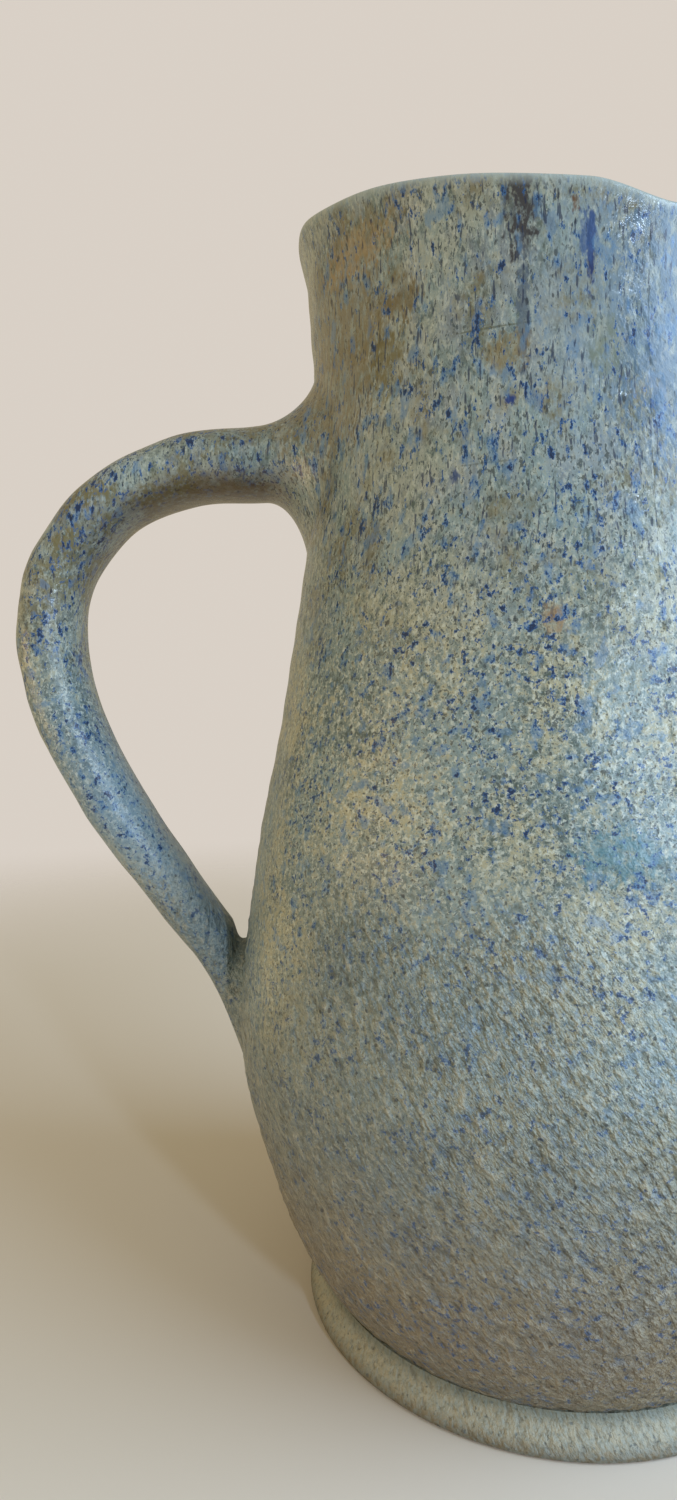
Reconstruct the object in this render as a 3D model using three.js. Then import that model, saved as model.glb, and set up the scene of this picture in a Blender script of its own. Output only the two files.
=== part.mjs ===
// A stoneware pitcher, thrown on the wheel, as the separate pieces of clay it is put together from:
// a turned foot, the thrown body, a spout let into the front of the neck, a pulled handle, and the
// two coils of soft clay that lute the handle to the wall.
//
// Millimetres. +Z is up and the origin is the middle of the flat underside. The spout points along
// +X and the handle stands out along -X. An angle round the pot is counted from the spout.

import * as THREE from "three";

// ---- Driving dimensions ----

const LUTING_GAP = 0.3; // clear space between two pieces that are stuck together

const FOOT_CONTACT_RADIUS = 49.5; // the part of the foot that stands on the table
const FOOT_EDGE_RADIUS = 50.7; // the flared edge, just above the table
const GROOVE_RADIUS = 47.5; // the turned groove between the foot and the belly
const GROOVE_HEIGHT = 6.6;
const FOOT_OUTLINE = [
  [FOOT_CONTACT_RADIUS, 0],
  [50.4, 0.3],
  [FOOT_EDGE_RADIUS, 1.2],
  [49.8, 2.8],
  [48.5, 4.4],
  [GROOVE_RADIUS, GROOVE_HEIGHT],
]; // [radius, height]

// The thrown wall: [height, outer radius], from the groove over the belly to the waist of the neck.
const WALL_OUTLINE = [
  [GROOVE_HEIGHT, GROOVE_RADIUS],
  [14, 52.7],
  [30, 59.3],
  [58, 65.5],
  [92, 62.1],
  [128, 55.5],
  [164, 50.2],
  [198, 48.7],
  [232, 51.7],
];
const WALL_THICKNESS = 5;
const RIM_THICKNESS = 3.6;
const THINNING_HEIGHT = 30; // the wall thins over this last stretch below the rim
const RIM_FLARE = 1.1; // extra radius right at the rim
const FLARE_HEIGHT = 5;
const LIP_HEIGHT = 1.2; // height of the rounded edge
const INSIDE_WALL_START = 21; // height at which the inner wall begins
const INSIDE_CORNER = [
  [40, 13],
  [47.5, 15.5],
]; // [radius, height] round the floor's edge

const RIM_HEIGHT = 215; // the mean height; the rim dips at the sides and rises to handle and spout
const RIM_SADDLE = 5.1;
const RIM_BACK_LIFT = 2.3;
const RIM_SHOULDER = 0.3;
const RIM_PEAK = 3.8; // over the handle
const PEAK_WIDTH = 17.5; // degrees
const SPOUT_DROP = 2.5; // the rim steps down where the spout begins
const DROP_STARTS = 95; // degrees from the spout
const DROP_ENDS = 78;

const SPOUT_HALF_ANGLE = 83; // degrees either side of +X
const SPOUT_SIDE_GAP = 0.25; // degrees between the body's last column and the spout's side
const SPOUT_TRIM = 0.4; // degrees taken off each side of the spout
const SPOUT_LOWEST = 150; // the seam's lowest point, at the front
const SPOUT_SIDE_DEPTH = 5; // how far below the rim the seam runs out at the sides
const SEAM_SLANT = 1.7; // a gap across the slanting seam is this much more when measured upright
const SPOUT_REACH = 24; // how far the lip is pulled out
const SPOUT_WIDTH = 30; // degrees
const PINCH = 3; // the thumb marks beside the lip
const PINCH_ANGLE = 60;
const PINCH_WIDTH = 15;
const PULL_CURVE = 1.8; // the pull grows with this power of the height

// The strap handle's centre line: [reach from the axis, height, half thickness, half width].
const HANDLE_LINE = [
  [60, 178.5, 7.5, 11.2],
  [76, 177.1, 6.9, 11.0],
  [91.5, 169.9, 6.5, 11.0],
  [101.9, 156.8, 6.6, 11.0],
  [104.9, 142, 6.8, 11.0],
  [101.4, 125, 6.7, 10.8],
  [92.8, 107.5, 6.3, 10.2],
  [81.2, 90.3, 5.7, 9.4],
  [71.6, 77.5, 5.2, 8.8],
];
const STRAP_SQUARENESS = 2.3; // 2 is an ellipse, more is squarer

// Each coil spreads from the strap to an oval patch on the wall.
// Its skin leaves the wall with a slope given by the lift, and the pulls say how far each end's
// direction is felt, as shares of the way between wall and strap.
const UPPER_COIL = { height: 177.5, halfHeight: 18.5, halfWidth: 20, lift: 0.55 };
const LOWER_COIL = { height: 63, halfHeight: 13.5, halfWidth: 11, lift: 0.75 };
const WALL_PULL = 0.8;
const STRAP_PULL = 1.1;
const COIL_CLEARANCE = 0.35; // between a coil's flat side and the wall
const COIL_RINGS = [0.3, 0.7]; // shares of the oval at which the flat side is divided

// How finely the surfaces are divided.
const BACK_STEPS = 34;
const FRONT_STEPS = 28;
const WALL_STEPS = 17;
const WALL_CROWDING = 1.15; // above 1, the wall's rows lie closer together towards the foot
const INNER_STEPS = 12;
const SPOUT_STEPS = 6;
const LIP_STEPS = 4;
const STRAP_SIDES = 20;
const STRAP_STEPS = 28;
const COIL_STEPS = 5;

// ---- Helpers ----

const radians = THREE.MathUtils.degToRad;
const degrees = THREE.MathUtils.radToDeg;
const smoothstep = THREE.MathUtils.smoothstep;

const bell = (distance, width) => Math.exp(-((distance / width) ** 2));

// A smooth curve through knots [x, y], as y for any x, with the slopes of a Catmull-Rom spline.
function curveThrough(knots) {
  const slope = knots.map((knot, i) => {
    const before = knots[Math.max(i - 1, 0)];
    const after = knots[Math.min(i + 1, knots.length - 1)];
    return (after[1] - before[1]) / (after[0] - before[0]);
  });
  return (x) => {
    let i = knots.findIndex((knot) => x < knot[0]) - 1;
    if (i < 0) i = x < knots[0][0] ? 0 : knots.length - 2;
    const [x0, y0] = knots[i];
    const [x1, y1] = knots[i + 1];
    const span = x1 - x0;
    const t = (x - x0) / span;
    const rise = y1 - y0;
    const entry = t * (1 - t) * (1 - t) * (slope[i] * span - rise);
    const exit = t * t * (1 - t) * (rise - slope[i + 1] * span);
    return y0 + rise * t + entry + exit;
  };
}

// Joins closed rings of points, each with as many points as the others, into one closed solid.
// The first and last rings are closed with a fan. Seen along the way the rings are listed, each
// ring turns clockwise.
function loft(rings) {
  const sides = rings[0].length;
  const points = rings.flat();
  const middle = (ring) =>
    ring.reduce((sum, p) => sum.add(p), new THREE.Vector3()).divideScalar(sides);
  const first = points.push(middle(rings[0])) - 1;
  const last = points.push(middle(rings.at(-1))) - 1;
  const topRow = (rings.length - 1) * sides;
  const index = [];
  for (let i = 0; i < sides; i += 1) {
    const next = (i + 1) % sides;
    for (let row = 0; row < topRow; row += sides) {
      index.push(row + i, row + next, row + sides + next);
      index.push(row + i, row + sides + next, row + sides + i);
    }
    index.push(first, next, i);
    index.push(last, topRow + i, topRow + next);
  }
  const geometry = new THREE.BufferGeometry().setFromPoints(points);
  geometry.setIndex(index);
  geometry.computeVertexNormals();
  return geometry;
}

function clay(color, roughness) {
  return new THREE.MeshStandardMaterial({ color, roughness, metalness: 0 });
}

function piece(name, geometry, material) {
  const mesh = new THREE.Mesh(geometry, material);
  mesh.name = name;
  return mesh;
}

// ---- The pot's surface ----

const outline = curveThrough(WALL_OUTLINE);

// Degrees from the spout, 0 to 180, whichever way round.
const fromSpout = (angle) => Math.abs(degrees(Math.atan2(Math.sin(angle), Math.cos(angle))));

function rimHeight(angle) {
  const fromHandle = Math.PI - angle;
  const waves =
    RIM_SADDLE * Math.cos(2 * fromHandle) +
    RIM_BACK_LIFT * Math.cos(fromHandle) -
    RIM_SHOULDER * Math.cos(3 * fromHandle);
  const step = 1 - smoothstep(fromSpout(angle), DROP_ENDS, DROP_STARTS);
  const peak = RIM_PEAK * bell(180 - fromSpout(angle), PEAK_WIDTH);
  return RIM_HEIGHT + waves + peak - SPOUT_DROP * step;
}

// The outer radius: the thrown outline, the flare at the rim, and the pull of the spout, which
// reaches out at the front, pinches in on both sides of it and grows towards the rim.
function outerRadius(angle, height) {
  const rim = rimHeight(angle);
  const away = fromSpout(angle);
  const rise = Math.max(0, (height - SPOUT_LOWEST) / (rim - SPOUT_LOWEST)) ** PULL_CURVE;
  const reach = SPOUT_REACH * bell(away, SPOUT_WIDTH) - PINCH * bell(away - PINCH_ANGLE, PINCH_WIDTH);
  return outline(height) + RIM_FLARE * Math.exp((height - rim) / FLARE_HEIGHT) + reach * rise;
}

function innerRadius(angle, height) {
  const rim = rimHeight(angle);
  const nearRim = smoothstep(height, rim - THINNING_HEIGHT, rim);
  return outerRadius(angle, height) - THREE.MathUtils.lerp(WALL_THICKNESS, RIM_THICKNESS, nearRim);
}

// The seam under the spout lies in a slanting plane: low at the front, high at the sides.
function seamHeight(angle) {
  const side = radians(SPOUT_HALF_ANGLE);
  const top = rimHeight(side) - SPOUT_SIDE_DEPTH;
  return SPOUT_LOWEST + ((top - SPOUT_LOWEST) * (1 - Math.cos(angle))) / (1 - Math.cos(side));
}

function at(angle, radius, height) {
  return new THREE.Vector3(radius * Math.cos(angle), radius * Math.sin(angle), height);
}

// The rounded edge between the outer and the inner wall, as the points between the two.
function lip(angle, height, rounding) {
  const outer = outerRadius(angle, height);
  const inner = innerRadius(angle, height);
  const points = [];
  for (let i = 1; i < LIP_STEPS; i += 1) {
    const turn = (Math.PI * i) / LIP_STEPS;
    const radius = (outer + inner) / 2 + ((outer - inner) / 2) * Math.cos(turn);
    points.push(at(angle, radius, height + rounding * Math.sin(turn)));
  }
  return points;
}

// ---- The pieces ----

function footRing() {
  const profile = [[0, 0], ...FOOT_OUTLINE, [0, GROOVE_HEIGHT]];
  const points = profile.map(([radius, height]) => new THREE.Vector2(radius, height));
  const geometry = new THREE.LatheGeometry(points, BACK_STEPS + FRONT_STEPS);
  return geometry.rotateX(Math.PI / 2);
}

// Angles of the columns of points: the back of the pot, then the front, where the spout sits.
function columns(from, to, steps) {
  return Array.from({ length: steps + 1 }, (_, i) => radians(from + ((to - from) * i) / steps));
}
const FRONT = columns(-SPOUT_HALF_ANGLE, SPOUT_HALF_ANGLE, FRONT_STEPS);
const BACK_EDGE = SPOUT_HALF_ANGLE + SPOUT_SIDE_GAP;
const BACK = columns(BACK_EDGE, 360 - BACK_EDGE, BACK_STEPS);

function potBody() {
  const bottom = GROOVE_HEIGHT + LUTING_GAP;
  const round = [
    ...FRONT.map((angle) => ({ angle, top: seamHeight(angle), rounding: 0 })),
    ...BACK.map((angle) => ({ angle, top: rimHeight(angle) - LIP_HEIGHT, rounding: LIP_HEIGHT })),
  ];
  const rings = [];
  for (let i = 0; i <= WALL_STEPS; i += 1) {
    const share = i / WALL_STEPS;
    rings.push(
      round.map(({ angle, top }) => {
        const height = bottom + (top - bottom) * share ** WALL_CROWDING;
        return at(angle, outerRadius(angle, height), height);
      }),
    );
  }
  const lips = round.map(({ angle, top, rounding }) => lip(angle, top, rounding));
  for (let i = 0; i < LIP_STEPS - 1; i += 1) rings.push(lips.map((points) => points[i]));
  for (let i = INNER_STEPS; i >= 0; i -= 1) {
    rings.push(
      round.map(({ angle, top }) => {
        const height = INSIDE_WALL_START + ((top - INSIDE_WALL_START) * i) / INNER_STEPS;
        return at(angle, innerRadius(angle, height), height);
      }),
    );
  }
  for (const [radius, height] of INSIDE_CORNER.toReversed()) {
    rings.push(round.map(({ angle }) => at(angle, radius, height)));
  }
  return loft(rings);
}

function spoutPiece() {
  const seamGap = LUTING_GAP * SEAM_SLANT;
  const trim = radians(SPOUT_TRIM);
  const sections = FRONT.toReversed().map((angle) => {
    const here = THREE.MathUtils.clamp(angle, FRONT[0] + trim, FRONT.at(-1) - trim);
    const low = seamHeight(angle) + seamGap;
    const high = rimHeight(here) - LIP_HEIGHT;
    const step = (high - low) / SPOUT_STEPS;
    const heights = Array.from({ length: SPOUT_STEPS + 1 }, (_, k) => low + step * k);
    return [
      ...heights.map((height) => at(here, outerRadius(here, height), height)),
      ...lip(here, high, LIP_HEIGHT),
      ...heights.toReversed().map((height) => at(here, innerRadius(here, height), height)),
    ];
  });
  return loft(sections);
}

const handleLine = new THREE.CatmullRomCurve3(
  HANDLE_LINE.map(([reach, height]) => new THREE.Vector3(-reach, 0, height)),
  false,
  "catmullrom",
);
const handleSize = new THREE.CatmullRomCurve3(
  HANDLE_LINE.map(([, , thickness, width]) => new THREE.Vector3(thickness, width, 0)),
  false,
  "catmullrom",
);
const ACROSS = new THREE.Vector3(0, 1, 0);

const power = (value) => Math.sign(value) * Math.abs(value) ** (2 / STRAP_SQUARENESS);

// The strap's section at t along the line, moved on by a distance along it.
function strapSection(t, moved = 0) {
  const along = handleLine.getTangent(t);
  const outwards = ACROSS.clone().cross(along);
  const centre = handleLine.getPoint(t).addScaledVector(along, moved);
  const size = handleSize.getPoint(t);
  return Array.from({ length: STRAP_SIDES }, (_, i) => {
    const turn = (2 * Math.PI * i) / STRAP_SIDES;
    return centre
      .clone()
      .addScaledVector(outwards, size.x * power(Math.cos(turn)))
      .addScaledVector(ACROSS, size.y * power(Math.sin(turn)));
  });
}

function handlePiece() {
  const sections = [];
  for (let i = 0; i <= STRAP_STEPS; i += 1) {
    const moved = i === 0 ? LUTING_GAP / 2 : i === STRAP_STEPS ? -LUTING_GAP / 2 : 0;
    sections.push(strapSection(i / STRAP_STEPS, moved));
  }
  return loft(sections);
}

// An oval on the wall round the root of the handle, a share of the coil's full size across.
// side is 1 where the strap's outer face is its upper one and -1 where it is its lower one.
function wallOval({ height, halfHeight, halfWidth }, side, share) {
  return Array.from({ length: STRAP_SIDES }, (_, i) => {
    const turn = (2 * Math.PI * i) / STRAP_SIDES;
    const z = height + side * halfHeight * share * Math.cos(turn);
    const y = halfWidth * share * Math.sin(turn);
    const radius = outerRadius(Math.PI, z) + COIL_CLEARANCE;
    return new THREE.Vector3(-Math.sqrt(radius * radius - y * y), y, z);
  });
}

// A coil's skin leaves the wall at a slope, towards the root's middle, and runs out along the strap.
function coil(size, side, t) {
  const station = strapSection(t, (-side * LUTING_GAP) / 2);
  const along = handleLine.getTangent(t).multiplyScalar(side);
  const oval = wallOval(size, side, 1);
  const middle = new THREE.Vector3(-outerRadius(Math.PI, size.height), 0, size.height);
  const rings = COIL_RINGS.map((share) => wallOval(size, side, share));
  for (let step = 0; step <= COIL_STEPS; step += 1) {
    const s = step / COIL_STEPS;
    rings.push(
      oval.map((start, i) => {
        const end = station[i];
        const reach = start.distanceTo(end);
        const leave = middle.clone().sub(start).setLength(reach * WALL_PULL);
        leave.x -= reach * size.lift;
        const arrive = along.clone().multiplyScalar(reach * STRAP_PULL);
        return start
          .clone()
          .multiplyScalar((1 + 2 * s) * (1 - s) ** 2)
          .addScaledVector(leave, s * (1 - s) ** 2)
          .addScaledVector(end, s * s * (3 - 2 * s))
          .addScaledVector(arrive, s * s * (s - 1));
      }),
    );
  }
  return loft(side > 0 ? rings : rings.toReversed());
}

const glaze = clay(0x8ba0aa, 0.35);
const dryGlaze = clay(0x9fa9aa, 0.6);

const pitcher = new THREE.Group();
pitcher.add(
  piece("foot_ring", footRing(), dryGlaze),
  piece("body", potBody(), glaze),
  piece("spout", spoutPiece(), glaze),
  piece("handle", handlePiece(), glaze),
  piece("upper_joint_coil", coil(UPPER_COIL, 1, 0), glaze),
  piece("lower_joint_coil", coil(LOWER_COIL, -1, 1), glaze),
);

export default pitcher;
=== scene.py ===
# %% [markdown]
# # A speckled stoneware pitcher
#
# This lesson dresses the plain CAD model of a hand-made pitcher for a close portrait. The pot was
# thrown on a wheel, given a pulled strap handle and a drawn-out lip, and dipped in one pale
# blue-grey glaze. Heat made the glaze run on the neck, break into cream and cobalt flecks on the
# belly and stay dry and sandy above the foot. The CAD model is loaded first, because every new
# piece takes its place from it.

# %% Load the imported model
import math

import bpy
import numpy as np
from mathutils import Matrix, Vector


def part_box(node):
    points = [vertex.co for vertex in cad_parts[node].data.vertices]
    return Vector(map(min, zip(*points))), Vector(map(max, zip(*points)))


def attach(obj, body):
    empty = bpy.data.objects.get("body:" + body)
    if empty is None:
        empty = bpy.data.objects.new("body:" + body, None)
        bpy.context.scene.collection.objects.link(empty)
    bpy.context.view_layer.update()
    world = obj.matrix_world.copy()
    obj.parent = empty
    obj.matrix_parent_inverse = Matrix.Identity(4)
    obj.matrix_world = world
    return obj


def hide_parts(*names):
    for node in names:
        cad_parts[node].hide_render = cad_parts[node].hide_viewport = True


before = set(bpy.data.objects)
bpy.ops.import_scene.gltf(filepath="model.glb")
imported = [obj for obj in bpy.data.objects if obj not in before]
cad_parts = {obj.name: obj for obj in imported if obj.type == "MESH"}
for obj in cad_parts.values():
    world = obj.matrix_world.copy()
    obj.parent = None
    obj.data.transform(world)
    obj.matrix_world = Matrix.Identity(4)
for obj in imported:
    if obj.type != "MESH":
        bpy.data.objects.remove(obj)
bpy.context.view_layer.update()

# %% [markdown]
# ## The camera
#
# The pitcher is seen from close by and a little over half its height, with the handle to the left
# and the spout cut off by the right edge. A lens this close makes the belly bulge, and shows the
# foot from above and the rim from below. The camera stands at an angle from the spout, a distance
# from the axis and a height. It is then turned aside, which puts the pot at the right of the frame.

# %% Place the camera
CAMERA_ANGLE = math.radians(-104)  # where it stands, counted round the pot from the spout
CAMERA_DISTANCE = 0.197  # from the pot's axis
CAMERA_HEIGHT = 0.124
TURN_LEFT = math.radians(12.83)
TILT_DOWN = math.radians(2)
ROLL = math.radians(-0.4)
SENSOR = 36.0  # millimetres, along the tall side
LENS = 21.12


def from_camera(rightwards, away, up):
    """A direction given as the viewer sees it, turned into the pot's frame."""
    towards = np.array([math.cos(CAMERA_ANGLE), math.sin(CAMERA_ANGLE), 0.0])
    right = np.array([-towards[1], towards[0], 0.0])
    return rightwards * right - away * towards + np.array([0.0, 0.0, up])


def add_camera():
    """The camera looks along forward; its own axes are right, up and the reverse of forward."""
    level = math.cos(TILT_DOWN)
    along, aside = math.cos(TURN_LEFT), math.sin(TURN_LEFT)
    forward = from_camera(-aside * level, along * level, -math.sin(TILT_DOWN))
    right = from_camera(along, aside, 0.0)
    up = np.cross(right, forward)
    rolled_right = math.cos(ROLL) * right + math.sin(ROLL) * up
    rolled_up = math.cos(ROLL) * up - math.sin(ROLL) * right
    data = bpy.data.cameras.new("camera")
    data.sensor_width = SENSOR
    data.lens = LENS
    data.clip_start = 0.01
    camera = bpy.data.objects.new("camera", data)
    place = Matrix.Identity(4)
    for column, axis in enumerate((rolled_right, rolled_up, -forward)):
        for row in range(3):
            place[row][column] = axis[row]
    place.translation = from_camera(0.0, -CAMERA_DISTANCE, CAMERA_HEIGHT)
    camera.matrix_world = place
    bpy.context.scene.collection.objects.link(camera)
    bpy.context.scene.camera = camera
    print("camera at", [round(v, 4) for v in place.translation])


add_camera()

# %% [markdown]
# ## Helpers for shader nodes
#
# A material is a small machine of connected nodes. One helper adds a node and fills in its inputs,
# and the others are short names for the sums, layers and noises that the glaze is made of.

# %% Node helpers
def make(tree, kind, inputs, **settings):
    """A new node: settings are its menus, inputs are sockets to link from or plain values."""
    node = tree.nodes.new(kind)
    for name, value in settings.items():
        setattr(node, name, value)
    for name, value in inputs.items():
        if isinstance(value, bpy.types.NodeSocket):
            tree.links.new(value, node.inputs[name])
        else:
            node.inputs[name].default_value = value
    return node


def calc(tree, operation, *values):
    """The result of one sum, such as MULTIPLY or ADD."""
    return make(tree, "ShaderNodeMath", dict(enumerate(values)), operation=operation).outputs[0]


def vector_calc(tree, operation, first, second):
    """The same for vectors."""
    return make(tree, "ShaderNodeVectorMath", {0: first, 1: second}, operation=operation).outputs[0]


def fade(tree, value, start, end, low=0.0, high=1.0):
    """A soft step: low while value is before start, high once it is past end."""
    inputs = {"Value": value, "From Min": start, "From Max": end, "To Min": low, "To Max": high}
    return make(tree, "ShaderNodeMapRange", inputs, interpolation_type="SMOOTHSTEP").outputs[0]


def part_of(tree, *masks):
    """Masks multiplied together; a plain number among them is a strength."""
    product = masks[0]
    for mask in masks[1:]:
        product = calc(tree, "MULTIPLY", product, mask)
    return product


def cover(tree, colour, tone, *masks):
    """The tone laid over the colour where all of the masks are."""
    inputs = {0: part_of(tree, *masks), 6: colour, 7: tone}
    return make(tree, "ShaderNodeMix", inputs, data_type="RGBA").outputs[2]


def between(tree, share, low, high):
    """Low where the share is 0 and high where it is 1."""
    return fade(tree, share, 0.0, 1.0, low, high)


def noise(tree, vector, detail, roughness=0.5):
    """Cloudy noise with features about one unit across, around a mean of one half."""
    inputs = {"Vector": vector, "Scale": 1.0, "Detail": detail, "Roughness": roughness}
    return make(tree, "ShaderNodeTexNoise", inputs).outputs


def srgb(red, green, blue):
    """A tone in parts of 255, as the scene-linear colour that Blender works in."""
    part = np.array([red, green, blue]) / 255
    linear = np.where(part <= 0.04045, part / 12.92, ((part + 0.055) / 1.055) ** 2.4)
    return (*linear.tolist(), 1.0)


def new_group(name, inputs, outputs):
    """An empty node group: an input of None is a vector, all other sockets are numbers."""
    group = bpy.data.node_groups.new(name, "ShaderNodeTree")
    for socket_name, value in inputs.items():
        kind = "NodeSocketVector" if value is None else "NodeSocketFloat"
        socket = group.interface.new_socket(socket_name, in_out="INPUT", socket_type=kind)
        if value is not None:
            socket.default_value = value
    for socket_name in outputs:
        group.interface.new_socket(socket_name, in_out="OUTPUT", socket_type="NodeSocketFloat")
    given = group.nodes.new("NodeGroupInput").outputs
    return group, given, group.nodes.new("NodeGroupOutput").inputs


def use(tree, group, **inputs):
    """A group placed in a material, with its own values."""
    return make(tree, "ShaderNodeGroup", inputs, node_tree=group).outputs


def length_of(tree, vector):
    """The length of a vector."""
    return make(tree, "ShaderNodeVectorMath", {0: vector}, operation="LENGTH").outputs["Value"]


def parts_of(tree, vector):
    """The three numbers x, y and z of a vector."""
    return make(tree, "ShaderNodeSeparateXYZ", {0: vector}).outputs


def object_place(tree):
    """The place of each point in the pot's own space."""
    return make(tree, "ShaderNodeTexCoord", {}).outputs["Object"]


def new_material(name):
    """A material with the standard shader: the material, its nodes and the shader."""
    material = bpy.data.materials.new(name)
    material.use_nodes = True
    return material, material.node_tree, material.node_tree.nodes["Principled BSDF"]


# %% [markdown]
# ## The floor and the light
#
# A soft studio: a pale floor that melts into the background, a warm glow as from pale walls, a cool
# window at the right, a small one far behind the viewer that shows in the glaze near the rim, and a
# faint warm bounce from the left.

# %% Set the stage
FLOOR_RADIUS = 1.5
FLOOR_FADE = (0.25, 0.75)  # the floor melts into the background between these radii
BACKGROUND = srgb(222, 213, 203)
FLOOR_TONE = srgb(226, 218, 207)
GLOW_SEEN = 0.95  # how bright the background looks
GLOW = 0.66  # how much of it lights the pot
GLOW_TONE = srgb(220, 206, 174)  # as a light it is warmer, like the bounce of a wooden table
WINDOW_TONE = (0.60, 0.78, 1.0)
WARM_TONE = (1.0, 0.70, 0.38)
POT_MIDDLE = np.array([0.0, 0.0, 0.12])  # what the lights face


def add_floor():
    """A flat disc whose finish turns clear away from the middle."""
    bpy.ops.mesh.primitive_circle_add(vertices=96, radius=FLOOR_RADIUS, fill_type="NGON")
    floor = bpy.context.object
    floor.name = "floor"
    material, tree, shader = new_material("floor")
    shader.inputs["Base Color"].default_value = FLOOR_TONE
    shader.inputs["Roughness"].default_value = 0.9
    clear = fade(tree, length_of(tree, object_place(tree)), *FLOOR_FADE, 1.0, 0.0)
    tree.links.new(clear, shader.inputs["Alpha"])
    floor.data.materials.append(material)


def add_world():
    """The same warm pale tone all round, brighter to the eye than as a light."""
    world = bpy.data.worlds.new("studio")
    world.use_nodes = True
    tree = world.node_tree
    background = tree.nodes["Background"].inputs
    seen = make(tree, "ShaderNodeLightPath", {}).outputs["Is Camera Ray"]
    tree.links.new(cover(tree, GLOW_TONE, BACKGROUND, seen), background["Color"])
    tree.links.new(between(tree, seen, GLOW, GLOW_SEEN), background["Strength"])
    bpy.context.scene.world = world


def add_light(name, direction, distance, size, watts, tone):
    """A rectangular soft light that faces the middle of the pot."""
    place = POT_MIDDLE + distance * direction / np.linalg.norm(direction)
    data = bpy.data.lights.new(name, "AREA")
    data.shape = "RECTANGLE"
    data.size, data.size_y = size
    data.energy = watts
    data.color = tone
    light = bpy.data.objects.new(name, data)
    back = (place - POT_MIDDLE) / distance
    right = np.cross([0.0, 0.0, 1.0], back)
    right /= np.linalg.norm(right)
    turned = Matrix(np.column_stack([right, np.cross(back, right), back]).tolist()).to_4x4()
    turned.translation = place
    light.matrix_world = turned
    bpy.context.scene.collection.objects.link(light)


add_floor()
add_world()
add_light("window", from_camera(1.0, -0.22, 0.50), 1.0, (0.9, 0.9), 13.5, WINDOW_TONE)
add_light("far_window", from_camera(0.62, -0.82, 0.21), 1.0, (0.05, 0.11), 3.0, WINDOW_TONE)
add_light("warm_bounce", from_camera(-0.8, -0.5, -0.05), 0.8, (0.5, 0.3), 1.5, WARM_TONE)
bpy.context.scene.view_settings.view_transform = "Standard"
print("stage: floor, world glow and", len(bpy.data.lights), "lights")

# %% [markdown]
# ## The pot as a formula
#
# A thrown pot is a circle at every height, so one outline gives most of it. The rest is what hands
# did afterwards: the rim rises to the handle, and the front was pulled out and pinched into a
# spout. One function gives the outer radius for whole arrays of angles and heights. Body and spout
# are both sampled from it, so they meet without a step.

# %% The outline and the rim
MM = 0.001
WALL_OUTLINE = MM * np.array([  # height and outer radius, from the groove to the mouth
    [6.6, 47.5], [14, 52.7], [30, 59.3], [58, 65.5], [92, 62.1],
    [128, 55.5], [164, 50.2], [198, 48.7], [232, 51.7],
])
RIM_HEIGHT = 215 * MM
RIM_SADDLE = 5.1 * MM
RIM_BACK_LIFT = 2.3 * MM
RIM_SHOULDER = 0.3 * MM
RIM_FLARE = 1.1 * MM
FLARE_HEIGHT = 5 * MM
LIP_HEIGHT = 1.2 * MM
LIP_SQUARENESS = 3.2  # 2 is a half oval, more is squarer
WALL_THICKNESS = 5 * MM
RIM_THICKNESS = 3.6 * MM
THINNING = 30 * MM  # the wall gets thinner over this stretch below the rim
SPOUT_SIDE = math.radians(83)  # the spout's seam reaches this far round on both sides
RIM_PEAK = 3.8 * MM  # over the handle
PEAK_WIDTH = math.radians(17.5)
SPOUT_DROP = 2.5 * MM
DROP_STARTS = math.radians(95)
DROP_ENDS = math.radians(78)
SPOUT_LOWEST = 150 * MM
SPOUT_SIDE_DEPTH = 5 * MM
SPOUT_REACH = 24 * MM
SPOUT_WIDTH = math.radians(30)
PINCH = 3 * MM
PINCH_ANGLE = math.radians(60)
PINCH_WIDTH = math.radians(15)
PULL_CURVE = 1.8


def curve_through(knots):
    """A function through the knots, joined by cubics with the mean slope of their neighbours."""
    x, y = knots.T
    order = np.arange(len(x))
    before = np.maximum(order - 1, 0)
    after = np.minimum(order + 1, len(x) - 1)
    slope = (y[after] - y[before]) / (x[after] - x[before])

    def value(at):
        i = np.clip(np.searchsorted(x, at, side="right") - 1, 0, len(x) - 2)
        span = x[i + 1] - x[i]
        t = (at - x[i]) / span
        rise = y[i + 1] - y[i]
        entry = t * (1 - t) ** 2 * (slope[i] * span - rise)
        leave = t**2 * (1 - t) * (rise - slope[i + 1] * span)
        return y[i] + rise * t + entry + leave

    return value


def smooth(value, low, high):
    """0 below low, 1 above high and a smooth S between."""
    t = np.clip((value - low) / (high - low), 0, 1)
    return t * t * (3 - 2 * t)


def squared_oval(turn, squareness):
    """The turn's cosine and sine to the power 2 / squareness, so that the oval gets squarer."""
    wave = np.stack([np.cos(turn), np.sin(turn)])
    return np.sign(wave) * np.abs(wave) ** (2 / squareness)


def bell(distance, width):
    """1 at no distance, fading as the square of the distance over the width."""
    return np.exp(-((distance / width) ** 2))


def from_spout(angle):
    """The angle from the spout, 0 to a half turn, whichever way round."""
    return np.abs(np.arctan2(np.sin(angle), np.cos(angle)))


def rim_height(angle):
    """Mean height, plus waves of one, two and three turns and a peak over the handle, less a step
    where the spout begins."""
    back = np.pi - angle
    saddle = RIM_SADDLE * np.cos(2 * back) + RIM_BACK_LIFT * np.cos(back)
    step = 1 - smooth(from_spout(angle), DROP_ENDS, DROP_STARTS)
    peak = RIM_PEAK * bell(np.pi - from_spout(angle), PEAK_WIDTH)
    return RIM_HEIGHT + (saddle - RIM_SHOULDER * np.cos(3 * back)) + peak - SPOUT_DROP * step


outline = curve_through(WALL_OUTLINE)


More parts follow.
